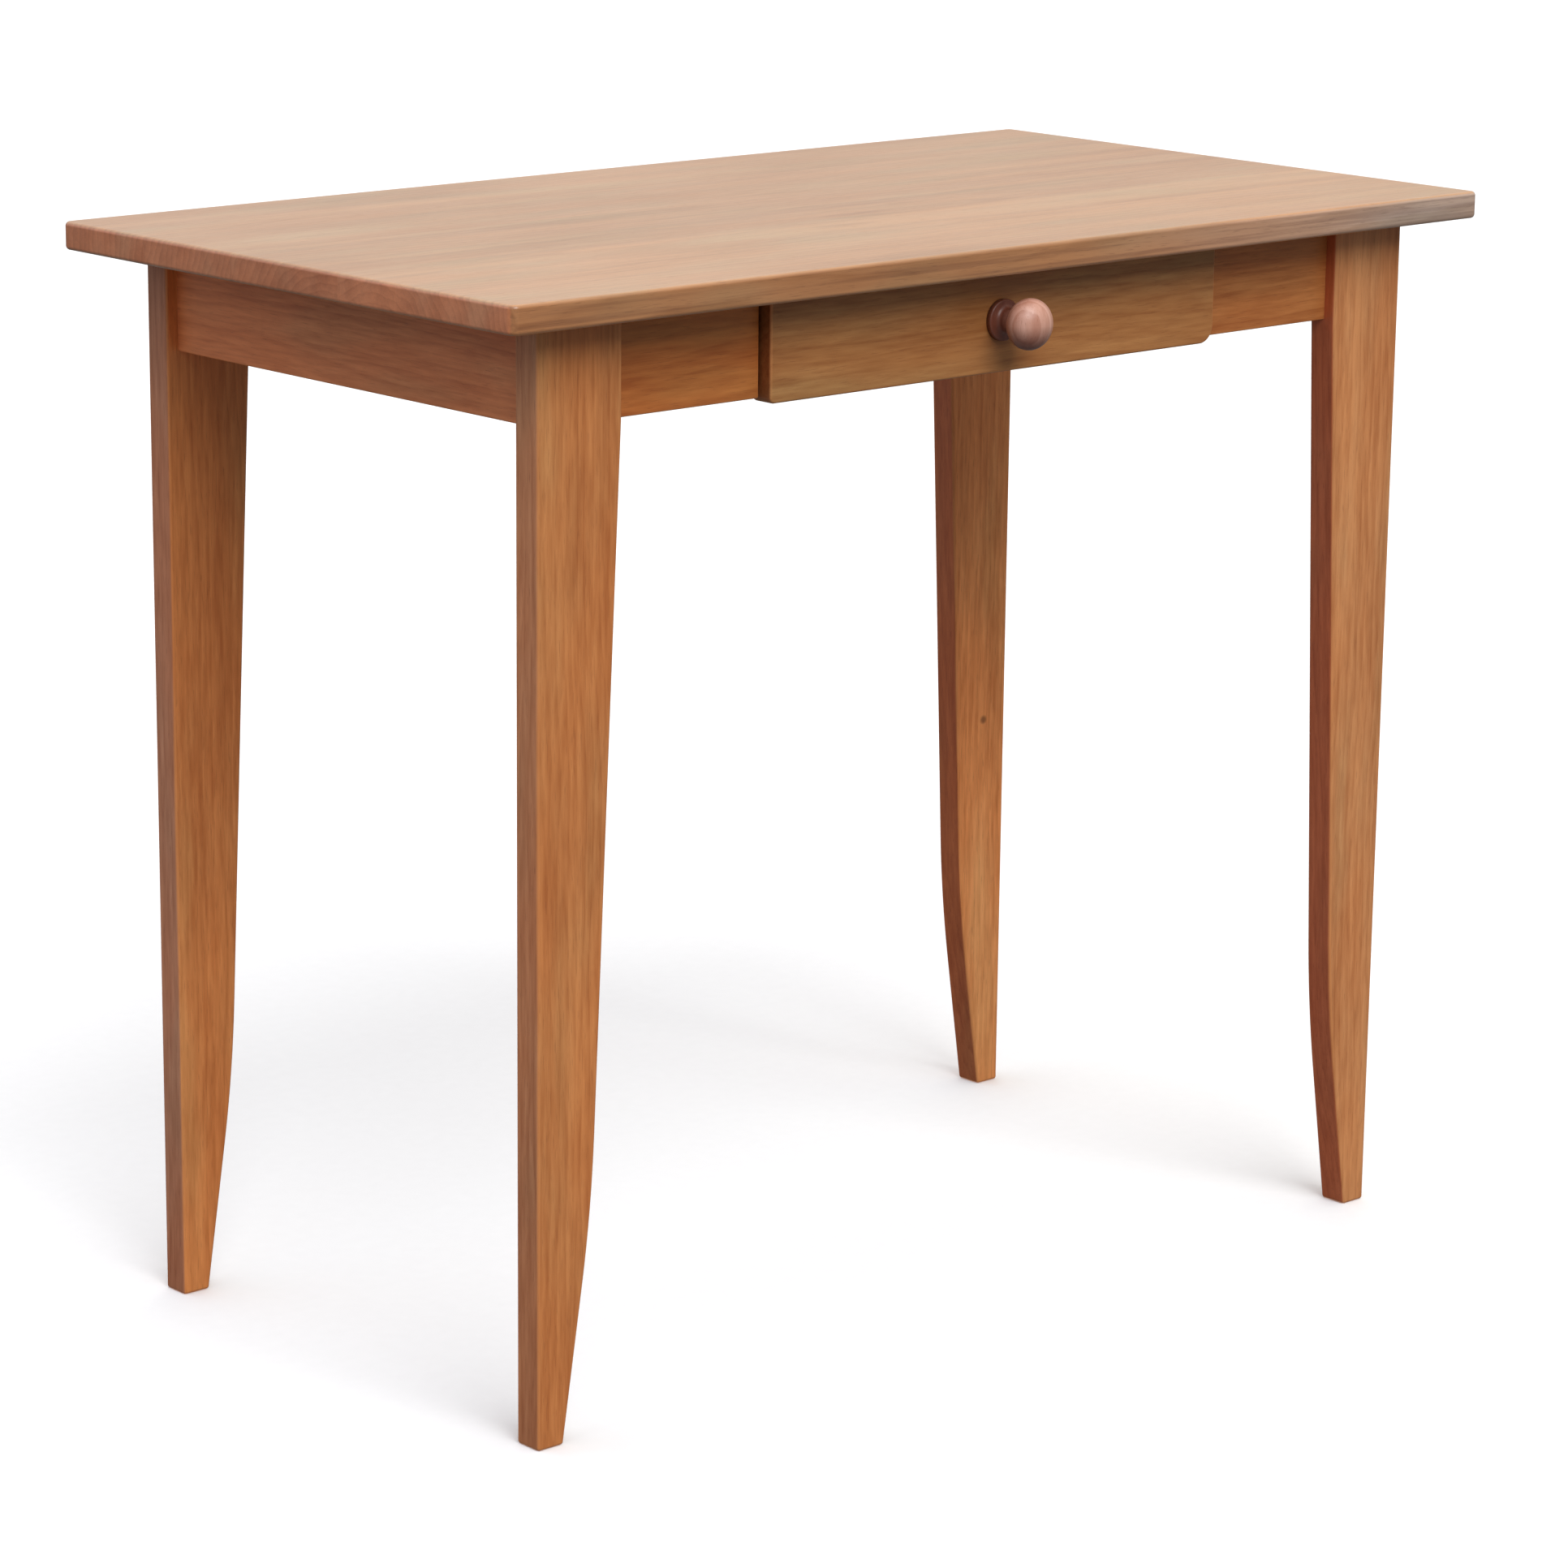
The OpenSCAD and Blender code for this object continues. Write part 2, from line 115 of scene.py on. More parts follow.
# Wood: colours as seen on a screen, 0 to 1, then strengths of its patterns, roughness and lacquer
Wood = namedtuple("Wood", "light dark pore streaks flecks rings hues rough coat")
WOODS = {
    "frame_wood": Wood(
        light=(0.85, 0.57, 0.34),
        dark=(0.69, 0.41, 0.21),
        pore=(0.46, 0.25, 0.12),
        streaks=0.7,
        flecks=1.1,
        rings=0.24,
        hues=0.9,
        rough=0.46,
        coat=0.0,
    ),
    "top_wood": Wood(
        light=(0.745, 0.55, 0.365),
        dark=(0.60, 0.405, 0.235),
        pore=(0.42, 0.26, 0.15),
        streaks=0.8,
        flecks=0.4,
        rings=0.34,
        hues=0.9,
        rough=0.36,
        coat=0.64,
    ),
    "knob_wood": Wood(
        light=(0.89, 0.69, 0.61),
        dark=(0.75, 0.52, 0.43),
        pore=(0.50, 0.28, 0.20),
        streaks=0.8,
        flecks=0.6,
        rings=0.5,
        hues=0.25,
        rough=0.38,
        coat=0.25,
    ),
    "inner_wood": Wood(
        light=(0.70, 0.50, 0.33),
        dark=(0.57, 0.37, 0.22),
        pore=(0.38, 0.23, 0.13),
        streaks=0.6,
        flecks=0.4,
        rings=0.3,
        hues=0.9,
        rough=0.62,
        coat=0.0,
    ),
    "drawer_wood": Wood(
        light=(0.84, 0.70, 0.52),
        dark=(0.74, 0.57, 0.39),
        pore=(0.56, 0.41, 0.26),
        streaks=0.6,
        flecks=0.3,
        rings=0.4,
        hues=0.9,
        rough=0.55,
        coat=0.0,
    ),
    "plywood": Wood(
        light=(0.86, 0.74, 0.57),
        dark=(0.77, 0.62, 0.44),
        pore=(0.62, 0.47, 0.31),
        streaks=0.7,
        flecks=0.2,
        rings=0.5,
        hues=0.9,
        rough=0.6,
        coat=0.0,
    ),
}

# Patterns in the wood: share of the length along the grain that counts, patterns per metre, detail
Pattern = namedtuple("Pattern", "drawn scale detail roughness", defaults=(0.5,))
STREAKS = Pattern(0.045, 60.0, 3.0)
FLECKS = Pattern(0.10, 300.0, 2.0)
FIBRES = Pattern(0.03, 900.0, 3.0, 0.6)
CLOUDS = Pattern(0.35, 15.0, 3.0)
HUES = Pattern(0.22, 26.0, 2.0)
PORES = Pattern(0.05, 1700.0, 1.0)
RIPPLES = Pattern(0.15, 38.0, 3.0)
LAYERS = Pattern(0.015, 260.0, 3.0, 0.6)

# Between these levels of their patterns the pores, warm hues, cool hues and layers set in
PORE_LEVELS = (0.10, 0.24)
WARM_LEVELS = (-0.15, 0.15)
COOL_LEVELS = (-0.20, -0.05)
LAYER_LEVELS = (-0.06, 0.16)

# What each pattern adds to the shade, from 0 for the light colour to 1 for the dark one
SHADE_STREAKS = 1.7
SHADE_FLECKS = 1.1
SHADE_CLOUDS = 0.8
SHADE_FIBRES = 0.35
SHADE_TONE = 0.7
PLAIN_SHADE = 0.5
RING_MIDDLE = 0.4

# Growth rings: how many in a metre, the shade across one, how far a ripple moves them, counted in
# rings, and the count at the heart
RINGS_PER_METRE = 170.0
RING_SHADES = ((0.0, 0.0), (0.60, 0.5), (0.84, 1.0), (1.0, 0.0))
RING_RIPPLE = 2.2
RING_START = 1.1

# Heart of the tree beside each board: how it wanders along the board, how far across and below it
# lies, how fast both change with the seed, and its shift with the tone
HEART_WANDER_SCALE = 2.2
HEART_WANDER_ROW = 0.5
HEART_WANDER = 0.035
HEART_ACROSS = 0.020
HEART_ACROSS_TURN = 5.0
HEART_BELOW = 0.055
HEART_BELOW_SPREAD = 0.02
HEART_BELOW_TURN = 3.0
HEART_TONE_SHIFT = 0.12

# Step in seed from one node to the next, how far a seed moves a board along the log, and how far a
# tone moves a board of a panel
SEED_STEP = 0.61
LOG_STEP = 3.7
PANEL_LOG_STEP = 9.0

# Strength of the cool hues against the warm ones, pores, glue lines, knot and tint of the ends
COOL_SHARE = 0.9
PORE_SHARE = 0.28
GLUE_SHARE = 0.30
KNOT_SHARE = 0.6
END_SHARE = 0.8

# How much an arris is rubbed at the lowest and the highest of two levels of the clouds, and the part
# of that on a panel
RUBBED_CLOUDS = (-0.12, 0.12)
RUBBED_SHARES = (0.10, 0.60)
PANEL_RUBBED = 0.2

# How squarely a face looks along the grain or sideways where its tint sets in and is full, and how
# squarely it looks up where the tint of a panel's edge fades and is gone
END_FACING = (0.75, 0.95)
SIDE_FACING = (0.70, 0.90)
EDGE_FACING = (0.45, 0.90)

# What the patterns add to the wood's roughness and relief, and the look of its lacquer
ROUGH_FIBRES = 0.22
ROUGH_CLOUDS = 0.16
ROUGH_PORES = 0.12
SMOOTH_RUBBED = 0.10
RELIEF_PORES = 0.7
RELIEF_STRENGTH = 0.30
RELIEF_DEPTH = 0.15 * MM
LACQUER_IOR = 1.5
LACQUER_ROUGH = 0.28

# Tints that the colours are multiplied by
WHITE = (1.0, 1.0, 1.0, 1.0)
WARM = (1.05, 0.95, 0.86, 1.0)
COOL = (0.95, 1.04, 1.08, 1.0)
ARRIS_TINT = (1.06, 0.98, 0.95, 1.0)
# Painted shade on the knob's base, neck and underside
PAINTED_SHADE_TINT = (0.30, 0.17, 0.13, 1.0)
END_TINT = (1.40, 1.06, 1.12, 1.0)
# The drawer front's ends are darkened: painted shade of the gaps beside the aprons
END_TINTS = {"drawer_front": (0.52, 0.34, 0.27, 1.0), "drawer_knob": (0.98, 0.96, 0.96, 1.0)}

# Painted sheen on the top's edge: it gets paler and bluer to the right, between these places along X, a
# painted reflection of light at the right
EDGE_TINT = (0.94, 0.86, 0.86, 1.0)
EDGE_SHEEN_RIGHT = (1.10, 1.56, 2.90, 1.0)
EDGE_STREAK_TINT = (0.74, 0.71, 0.72, 1.0)
EDGE_SHEEN_SPAN = (0.0, 0.42)

# Tone of a board, from 0 dark to 1 light, and tone and tint of the few that stand out. The tints are
# partly each board's own colour and partly painted light and shade: they make the side rail and the
# back and front right legs lighter, and the drawer front and aprons darker, where the light falls on
# them differently
PLAIN_TONE = 0.5
TONES = {
    "drawer_front": 0.40,
    "leg_front_left": 0.55,
    "leg_front_right": 0.60,
    "side_rail_left": 0.45,
}
TINTS = {
    "drawer_front": (0.76, 0.88, 0.90, 1.0),
    "side_rail_left": (1.30, 1.10, 1.22, 1.0),
    "leg_back_left": (1.24, 1.18, 1.12, 1.0),
    "leg_back_right": (1.50, 1.54, 1.62, 1.0),
    "leg_front_right": (1.04, 1.14, 1.35, 1.0),
    "front_apron_left": (0.94, 0.80, 0.56, 1.0),
    "front_apron_right": (0.94, 0.90, 0.78, 1.0),
}

# Painted light and shade on each leg's narrow faces: a cool tint, darker on the back legs, on the one
# that looks outwards, and painted shade on those that look inwards
LEG_SIDE_PAINTED_LIGHT = {
    "leg_front_left": ((0.95, 0.98, 1.32, 1.0), (0.80, 0.49, 0.47, 1.0)),
    "leg_front_right": ((0.90, 0.92, 1.20, 1.0), (0.86, 0.51, 0.49, 1.0)),
    "leg_back_left": ((0.68, 0.75, 1.26, 1.0), (0.74, 0.46, 0.44, 1.0)),
    "leg_back_right": ((0.74, 0.77, 1.02, 1.0), (0.55, 0.37, 0.34, 1.0)),
}

# Boards of the top from front to back: where each ends, as a share of the depth, and its tone.
# The glue lines between them, and the share of a line's width that is darkest
TOP_BOARDS = ((0.36, 0.86), (0.60, 0.44), (0.80, 0.56), (1.0, 0.48))
GLUE_LINE = 0.35 * MM
GLUE_CORE = 0.3

# A pin knot on the back right leg, and the share of its radius that is darkest
PIN_KNOT_NODE = "leg_back_right"
PIN_KNOT = Vector((0.372, 0.188, 0.298))
PIN_KNOT_RADIUS = 4.5 * MM
PIN_KNOT_CORE = 0.3

# Screw steel: colours as seen on a screen, blooms and scratches (patterns per metre, detail and
# roughness of each), the levels of the blooms between which the steel gets rough, and its relief
STEEL_BRIGHT = (0.80, 0.80, 0.80)
STEEL_DULL = (0.62, 0.61, 0.58)
STEEL_BLOOMS = (260.0, 4.0, 0.6)
STEEL_SCRATCHES = (2600.0, 2.0, 0.7)
STEEL_BLOOM_LEVELS = (0.3, 0.7)
STEEL_ROUGHNESS = (0.26, 0.46)
STEEL_SCRATCH_ROUGH = 0.08
STEEL_RELIEF_STRENGTH = 0.25
STEEL_RELIEF_DEPTH = 0.1 * MM

# Sky light: its even part, how much it grows overhead and to the back, the least of it, the height of
# the band at the horizon where it goes over to the light below the floor, and tints at left and right
SKY_EVEN = 0.27
SKY_OVERHEAD = 1.00
SKY_BACK = 0.30
SKY_LEAST = 0.05
SKY_HORIZON = 0.02
SKY_BELOW = 0.45
SKY_COOL = (0.91, 0.97, 1.11, 1.0)
SKY_WARM = (1.07, 1.01, 0.91, 1.0)

# Large soft sun from the front: turn to the right, height and size across in degrees, strength
SUN_TURN = -12.0
SUN_HEIGHT = 45.0
SUN_SIZE = 42.0
SUN_STRENGTH = 1.95

# Floor: its radius and steps round it, greys as the camera sees them, flecks (patterns per metre and
# detail), grey as the desk sees it, gap under the feet, and how near to a sole it lets light through
FLOOR_RADIUS = 60.0
FLOOR_STEPS = 96
FLOOR_DARKER = (0.95, 0.95, 0.95)
FLOOR_PALER = (0.965, 0.965, 0.965)
FLOOR_FLECKS = (90.0, 3.0)
FLOOR_ROUGH = 0.9
FLOOR_BOUNCE = (0.41, 0.41, 0.41)
FLOOR_GAP = 0.1 * MM
FLOOR_TOUCH = 1.5 * MM


# ---- Node helpers ----
def linear(colour):
    """Screen colour to the linear colour that shaders take."""
    parts = [c / 12.92 if c <= 0.04045 else ((c + 0.055) / 1.055) ** 2.4 for c in colour]
    return (*parts, 1.0)


class Tree:
    """The nodes of one material or world."""

    def __init__(self, owner):
        self.owner = owner
        owner.use_nodes = True
        self.nodes = owner.node_tree.nodes
        self.links = owner.node_tree.links
        self.nodes.clear()

    def feed(self, socket, value):
        if isinstance(value, bpy.types.NodeSocket):
            self.links.new(value, socket)
        else:
            socket.default_value = value

    def add(self, kind, inputs=(), **settings):
        node = self.nodes.new("ShaderNode" + kind)
        for key, value in settings.items():
            setattr(node, key, value)
        for key, value in dict(inputs).items():
            self.feed(node.inputs[key], value)
        return node

    def math(self, operation, a, b=0.0, clamp=False):
        return self.add("Math", {0: a, 1: b}, operation=operation, use_clamp=clamp).outputs[0]

    def plus(self, a, b, share=1.0):
        """a plus a share of b."""
        return self.math("ADD", a, self.math("MULTIPLY", b, share))

    def between(self, value, low, high, out_low=0.0, out_high=1.0, kind="SMOOTHSTEP"):
        inputs = {"Value": value, 1: low, 2: high, 3: out_low, 4: out_high}
        return self.add("MapRange", inputs, interpolation_type=kind).outputs[0]

    def join(self, x, y, z):
        return self.add("CombineXYZ", {0: x, 1: y, 2: z}).outputs[0]

    def split(self, vector):
        return list(self.add("SeparateXYZ", {0: vector}).outputs)

    def noise(self, vector, scale, detail=2.0, roughness=0.5):
        inputs = {"Vector": vector, "Scale": scale, "Detail": detail, "Roughness": roughness}
        return self.add("TexNoise", inputs).outputs["Fac"]

    def centred_noise(self, vector, scale, detail=2.0, roughness=0.5):
        """Noise round 0."""
        return self.math("SUBTRACT", self.noise(vector, scale, detail, roughness), 0.5)

    def mix(self, factor, a, b, blend="MIX"):
        inputs = {0: factor, 6: a, 7: b}
        return self.add("Mix", inputs, data_type="RGBA", blend_type=blend).outputs[2]

    def tinted(self, share, colour, tint):
        """The colour, multiplied by a tint as far as the share says."""
        return self.mix(share, colour, self.mix(1.0, colour, tint, "MULTIPLY"))

    def ramp(self, value, stops, interpolation="LINEAR"):
        node = self.add("ValToRGB", {0: value})
        node.color_ramp.interpolation = interpolation
        while len(node.color_ramp.elements) < len(stops):
            node.color_ramp.elements.new(0.5)
        for element, (at, level) in zip(node.color_ramp.elements, stops):
            element.position = at
            element.color = (level, level, level, 1.0)
        return node.outputs[0]

    def finish(self, shader):
        self.add("OutputMaterial", {0: shader.outputs[0]})
        return self.owner


# ---- Wood ----
# Axes along the grain, across it and into the board, for each way that the grain can run
GRAIN_ORDER = {"X": (0, 1, 2), "Y": (1, 0, 2), "Z": (2, 0, 1)}


def long_axis(node):
    """Grain runs along a piece's longest side."""
    low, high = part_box(node)
    sides = high - low
    return "XYZ"[max(range(3), key=lambda k: sides[k])]


def grain_place(tree, centre, along, seed):
    """Lengths along and across the grain, each board in a part of the log of its own."""
    parts = tree.split(tree.add("TexCoord").outputs["Object"])
    shifts = (LOG_STEP * seed, 0.0, 0.0)
    order = GRAIN_ORDER[along]
    return [tree.math("ADD", parts[k], shift - centre[k]) for k, shift in zip(order, shifts)]


def pattern(tree, place, kind):
    """Noise round 0 that is drawn out along the grain."""
    length, across, depth = place
    drawn = tree.join(tree.math("MULTIPLY", length, kind.drawn), across, depth)
    return tree.centred_noise(drawn, kind.scale, kind.detail, kind.roughness)


def panel_tone(tree, across, low, high):
    """Tone of the board at a place, in a panel glued up from boards."""
    share = tree.between(across, low, high, kind="LINEAR")
    starts = [0.0, *[end for end, _ in TOP_BOARDS[:-1]]]
    stops = [(start, tone) for start, (_, tone) in zip(starts, TOP_BOARDS)]
    return tree.ramp(share, stops, "CONSTANT")


def glue_lines(tree, across, low, high):
    """1 on the thin lines between the boards of a panel."""
    lines = 0.0
    for end, _ in TOP_BOARDS[:-1]:
        off = tree.math("ABSOLUTE", tree.math("SUBTRACT", across, low + (high - low) * end))
        lines = tree.math("ADD", lines, tree.between(off, GLUE_CORE * GLUE_LINE, GLUE_LINE, 1.0, 0.0))
    return lines


def growth_rings(tree, place, seed, tone):
    """Rings round a heart that wanders slowly beside the board, 0 in early wood to 1 in late wood."""
    length, across, depth = place
    wander = tree.centred_noise(tree.join(length, seed, HEART_WANDER_ROW), HEART_WANDER_SCALE)
    beside = tree.math("ADD", across, HEART_ACROSS * math.sin(HEART_ACROSS_TURN * seed))
    beside = tree.plus(beside, wander, HEART_WANDER)
    beside = tree.plus(beside, tone, HEART_TONE_SHIFT)
    below = HEART_BELOW + HEART_BELOW_SPREAD * math.cos(HEART_BELOW_TURN * seed)
    above = tree.math("ADD", depth, below)
    squares = tree.plus(tree.math("MULTIPLY", beside, beside), tree.math("MULTIPLY", above, above))
    turns = tree.plus(RING_START, tree.math("SQRT", squares), RINGS_PER_METRE)
    turns = tree.plus(turns, pattern(tree, place, RIPPLES), RING_RIPPLE)
    return tree.ramp(tree.math("FRACT", turns), RING_SHADES, "EASE")


def knot_mark(tree, colour, pore):
    """The colour with the pin knot in it."""
    spot = tree.add("TexCoord").outputs["Object"]
    off = tree.add("VectorMath", {0: spot, 1: PIN_KNOT}, operation="DISTANCE").outputs["Value"]
    core = tree.between(off, PIN_KNOT_CORE * PIN_KNOT_RADIUS, PIN_KNOT_RADIUS, KNOT_SHARE, 0.0)
    return tree.mix(core, colour, tuple(part * part for part in pore))


def edge_mark(tree, colour, place, facing, end):
    """The colour of a panel with its edge's tint, a painted sheen that grows to the right, and layers
    on it.
    """
    edge = tree.between(tree.math("ABSOLUTE", facing[2]), *EDGE_FACING, 1.0, 0.0)
    # Painted sheen: the front and back edges go paler and bluer to the right, the ends do not
    to_right = tree.between(tree.split(tree.add("TexCoord").outputs["Object"])[0], *EDGE_SHEEN_SPAN)
    tint = tree.mix(tree.math("SUBTRACT", to_right, end, True), EDGE_TINT, EDGE_SHEEN_RIGHT)
    colour = tree.tinted(edge, colour, tint)
    layers = tree.between(pattern(tree, place, LAYERS), *LAYER_LEVELS)
    streaks = tree.math("MULTIPLY", tree.math("SUBTRACT", edge, end, True), layers)
    return tree.tinted(streaks, colour, EDGE_STREAK_TINT)


def wood(node, along=None, panel=None, sides=()):
    """Wood of a node. panel: where a glued-up panel starts and ends across the grain.

    sides: pairs of the side along X that a face looks to, -1 or 1, and its tint of painted light and
    shade.
    """
    tree = Tree(bpy.data.materials.new(node + "_wood"))
    look = WOODS[SLOTS[node]]
    light, dark, pore = [linear(c) for c in (look.light, look.dark, look.pore)]
    low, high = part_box(node)
    along = along or long_axis(node)
    seed = SEED_STEP * (NODES.index(node) + 1)
    tone = TONES.get(node, PLAIN_TONE)
    place = grain_place(tree, (low + high) / 2, along, seed)
    across = place[1]
    if panel:
        tone = panel_tone(tree, across, *panel)
        place[0] = tree.plus(place[0], tone, PANEL_LOG_STEP)

    ring = growth_rings(tree, place, seed, tone)
    fibre = pattern(tree, place, FIBRES)
    cloud = pattern(tree, place, CLOUDS)
    hue = pattern(tree, place, HUES)
    pores = tree.between(pattern(tree, place, PORES), *PORE_LEVELS)

    shade = tree.plus(PLAIN_SHADE, pattern(tree, place, STREAKS), SHADE_STREAKS * look.streaks)
    shade = tree.plus(shade, tree.math("SUBTRACT", ring, RING_MIDDLE), look.rings)
    shade = tree.plus(shade, pattern(tree, place, FLECKS), SHADE_FLECKS * look.flecks)
    shade = tree.plus(shade, cloud, SHADE_CLOUDS)
    shade = tree.plus(shade, fibre, SHADE_FIBRES)
    shade = tree.plus(shade, tree.math("SUBTRACT", PLAIN_TONE, tone), SHADE_TONE)
    colour = tree.mix(tree.math("ADD", shade, 0.0, True), light, dark)
    # Board tint: partly its own colour, partly painted light and shade
    colour = tree.mix(1.0, colour, TINTS.get(node, WHITE), "MULTIPLY")
    colour = tree.tinted(tree.between(hue, *WARM_LEVELS, 0.0, look.hues), colour, WARM)
    colour = tree.tinted(tree.between(hue, *COOL_LEVELS, COOL_SHARE * look.hues, 0.0), colour, COOL)
    colour = tree.mix(tree.math("MULTIPLY", pores, PORE_SHARE), colour, pore)
    if panel:
        lines = tree.math("MULTIPLY", glue_lines(tree, across, *panel), GLUE_SHARE)
        colour = tree.mix(lines, colour, pore)
    if node == PIN_KNOT_NODE:
        colour = knot_mark(tree, colour, pore)

    # Ends take up stain in another way; the drawer front's darker ends are painted shade of the gaps
    # beside the aprons. Sides that have a tint carry painted light and shade, and a panel's edge a
    # painted sheen
    facing = tree.split(tree.add("TexCoord").outputs["Normal"])
    end_on = tree.math("ABSOLUTE", facing[GRAIN_ORDER[along][0]])
    end = tree.between(end_on, *END_FACING, 0.0, END_SHARE)
    colour = tree.tinted(end, colour, END_TINTS.get(node, END_TINT))
    # Painted light and shade on the faces that look to either side
    for sign, side_light in sides:
        side = tree.between(tree.math("MULTIPLY", facing[0], sign), *SIDE_FACING)
        colour = tree.tinted(side, colour, side_light)
    if panel:
        colour = edge_mark(tree, colour, place, facing, end)

    # Painted shade, darker as far as the piece's point attribute read here says: the knob's base, neck
    # and underside
    painted_shade = tree.add("Attribute", attribute_name="painted_shade").outputs["Fac"]
    colour = tree.tinted(painted_shade, colour, PAINTED_SHADE_TINT)

    # Arrises are rubbed a little paler and smoother
    arris = tree.add("Attribute", attribute_name="arris").outputs["Fac"]
    rubbed = tree.math("MULTIPLY", arris, tree.between(cloud, *RUBBED_CLOUDS, *RUBBED_SHARES))
    if panel:
        rubbed = tree.math("MULTIPLY", rubbed, PANEL_RUBBED)
    colour = tree.mix(rubbed, colour, tree.mix(1.0, light, ARRIS_TINT, "MULTIPLY"))

    rough = tree.plus(look.rough, fibre, ROUGH_FIBRES)
    rough = tree.plus(rough, cloud, ROUGH_CLOUDS)
    rough = tree.plus(rough, pores, ROUGH_PORES)
    rough = tree.math("SUBTRACT", rough, tree.math("MULTIPLY", rubbed, SMOOTH_RUBBED), True)
    relief = tree.math("SUBTRACT", fibre, tree.math("MULTIPLY", pores, RELIEF_PORES))
    bump = {"Strength": RELIEF_STRENGTH, "Distance": RELIEF_DEPTH, "Height": relief}
    inputs = {
        "Base Color": colour,
        "Roughness": rough,
        "Normal": tree.add("Bump", bump).outputs[0],
        "IOR": LACQUER_IOR,
        "Coat Weight": look.coat,
        "Coat Roughness": LACQUER_ROUGH,
    }
    return tree.finish(tree.add("BsdfPrincipled", inputs))


def steel():
    """Zinc-plated screw steel with fine turned scratches and dull blooms."""
    tree = Tree(bpy.data.materials.new("screw_steel"))
    place = tree.add("TexCoord").outputs["Object"]
    bloom = tree.noise(place, *STEEL_BLOOMS)
    scratch = tree.noise(place, *STEEL_SCRATCHES)
    colour = tree.mix(bloom, linear(STEEL_BRIGHT), linear(STEEL_DULL))
    rough = tree.between(bloom, *STEEL_BLOOM_LEVELS, *STEEL_ROUGHNESS)
    rough = tree.plus(rough, scratch, STEEL_SCRATCH_ROUGH)
    bump = {"Strength": STEEL_RELIEF_STRENGTH, "Distance": STEEL_RELIEF_DEPTH, "Height": scratch}
    inputs = {
        "Base Color": colour,
        "Roughness": rough,
        "Normal": tree.add("Bump", bump).outputs[0],
        "Metallic": 1.0,
    }
    return tree.finish(tree.add("BsdfPrincipled", inputs))


# ---- Mesh helpers ----
def mark_arrises(mesh, width):
    """Sets the attribute arris to 1 at points that lie inside a rounded edge."""
    inside = [1.0] * len(mesh.vertices)
    for face in mesh.polygons:
        longest = max((mesh.vertices[a].co - mesh.vertices[b].co).length for a, b in face.edge_keys)
        if face.area / longest >= width:
            for index in face.vertices:
                inside[index] = 0.0
    layer = mesh.attributes.new("arris", "FLOAT", "POINT")
    layer.data.foreach_set("value", inside)


def finish_piece(name, bm, material, node, rounding):
    """Turns a bmesh into a shown piece that stands for a CAD node."""
    mesh = bpy.data.meshes.new(name)
    bmesh.ops.recalc_face_normals(bm, faces=bm.faces)
    bm.to_mesh(mesh)
    bm.free()
    mark_arrises(mesh, ARRIS_SHARE * rounding)
    mesh.polygons.foreach_set("use_smooth", [True] * len(mesh.polygons))
    mesh.materials.append(material)
    piece = bpy.data.objects.new(name, mesh)
    bpy.context.scene.collection.objects.link(piece)
    weighted = piece.modifiers.new("Flat faces", "WEIGHTED_NORMAL")
    weighted.weight = 100
    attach(piece, BODIES[node])
    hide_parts(node)
    return piece


def arc(centre, radius, start, end, steps):
    """Points on an arc, angles in degrees."""
    angles = [math.radians(start + (end - start) * k / steps) for k in range(steps + 1)]
    return [(centre[0] + radius * math.cos(a), centre[1] + radius * math.sin(a)) for a in angles]


def extrude(outline, to_3d, near, far):
    """A prism with that outline between two depths. to_3d turns (a, b, depth) into a point."""
    bm = bmesh.new()
    rings = [[bm.verts.new(to_3d(a, b, depth)) for a, b in outline] for depth in (near, far)]
    count = len(outline)
    for k in range(count):
        n = (k + 1) % count
        bm.faces.new((rings[0][k], rings[0][n], rings[1][n], rings[1][k]))
    bm.faces.new(rings[0])
    bm.faces.new(rings[1])
    return bm


def soften(bm, radius):
    """Rounds every sharp edge."""
    bmesh.ops.recalc_face_normals(bm, faces=bm.faces)
    limit = math.radians(ROUND_FROM)
    bmesh.ops.bevel(
        bm,
        geom=[e for e in bm.edges if e.is_manifold and e.calc_face_angle() > limit],
        offset=radius,
        offset_type="OFFSET",
        segments=ARC_STEPS,
        profile=0.5,
        affect="EDGES",
        clamp_overlap=True,
    )
    return bm


def flat_point(a, b, depth):
    return a, b, depth


def upright_point(a, b, depth):
    return a, depth, b


def side_point(a, b, depth):
    return depth, a, b


def between(axis, near, far, end_in=END_IN):
    """The room along an axis from one node's far side to another node's near side."""
    return axis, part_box(near)[1][axis] - end_in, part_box(far)[0][axis] + end_in


def board(node, radius, room=None):
    """A straight board with rounded arrises, as large as its node or cut to the room it shows in."""
    low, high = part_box(node)
    if room:
        axis, near, far = room
        low[axis] = max(low[axis], near)
        high[axis] = min(high[axis], far)
    outline = [(low.x, low.y), (high.x, low.y), (high.x, high.y), (low.x, high.y)]
    bm = soften(extrude(outline, flat_point, low.z, high.z), radius)
    return finish_piece(node + "_board", bm, wood(node), node, radius)


def make_guide(node):
    """Upright board between apron and back rail, notched for the front top rail."""
    low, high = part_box(node)
    _, front, back = between(1, "front_apron_left", "back_rail", 0.0)
    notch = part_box("drawer_kicker_left")[0].y
    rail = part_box("front_top_rail")[0].z
    outline = [(front, low.z), (back, low.z), (back, high.z)]
    outline += [(notch, high.z), (notch, rail), (front, rail)]
    bm = soften(extrude(outline, side_point, low.x, high.x), STRIP_ROUND)
    return finish_piece(node + "_board", bm, wood(node), node, STRIP_ROUND)


